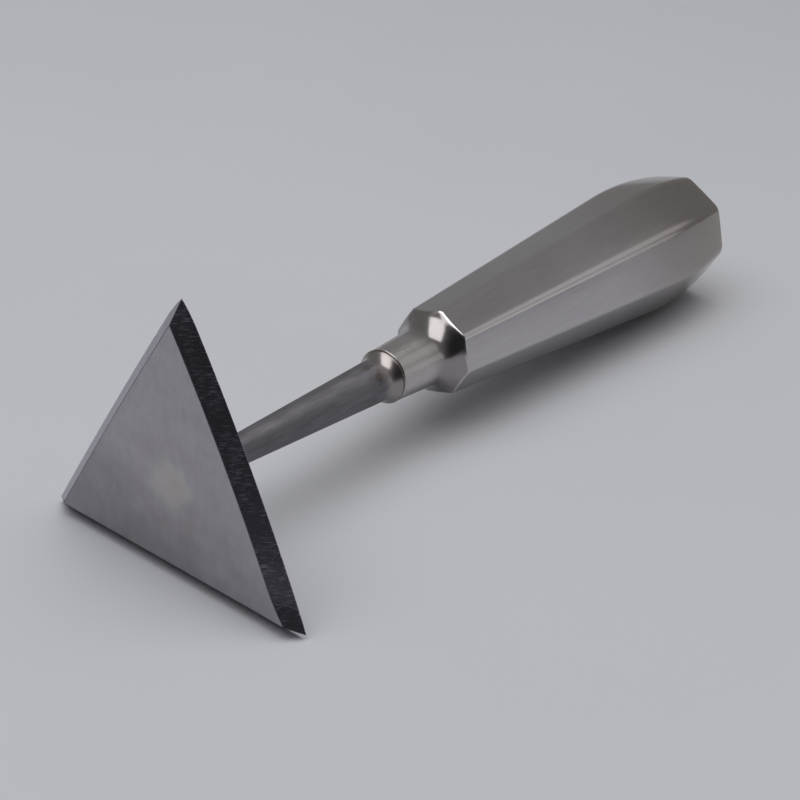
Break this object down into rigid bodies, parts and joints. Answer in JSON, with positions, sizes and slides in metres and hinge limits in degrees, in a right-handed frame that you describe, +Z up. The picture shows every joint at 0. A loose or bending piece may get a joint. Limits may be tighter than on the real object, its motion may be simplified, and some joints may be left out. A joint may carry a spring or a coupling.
{
  "type": "triangular pull scraper",
  "caption": "Hand scraper with a flat three-cornered bevelled steel blade set square on a tapered round shank, in a hollow eight-sided steel handle.",
  "frame": {"origin": "bottom centre of the box of the tool as it lies on a bench, on the blade's lower edge and the handle's lowest ridge", "axes": "+Z up from the bench, +Y from the blade to the butt of the handle, +X to the right seen from the front of the blade"},
  "size_m": [0.0454, 0.125, 0.0394],
  "materials": {
    "ground_tool_steel": "flat-ground plate with fine upright grinding lines and coarse cross-ground dark bevels",
    "weld_bead": "welded, brushed, lightly heat-stained",
    "forged_shank_steel": "matt, dull grey, brown heat stain near the bolster",
    "braze": "polished with the neck, dark",
    "satin_stainless": "satin-ground flats, buffed neck and flare",
    "seam_bead": "ground flush and satin-finished with the shell"
  },
  "bodies": {
    "root": {"blade": "ground_tool_steel", "blade_weld": "weld_bead", "shank": "forged_shank_steel", "neck_braze": "braze", "handle_half_right": "satin_stainless", "handle_half_left": "satin_stainless", "seam_weld": "seam_bead"}
  },
  "joints": []
}
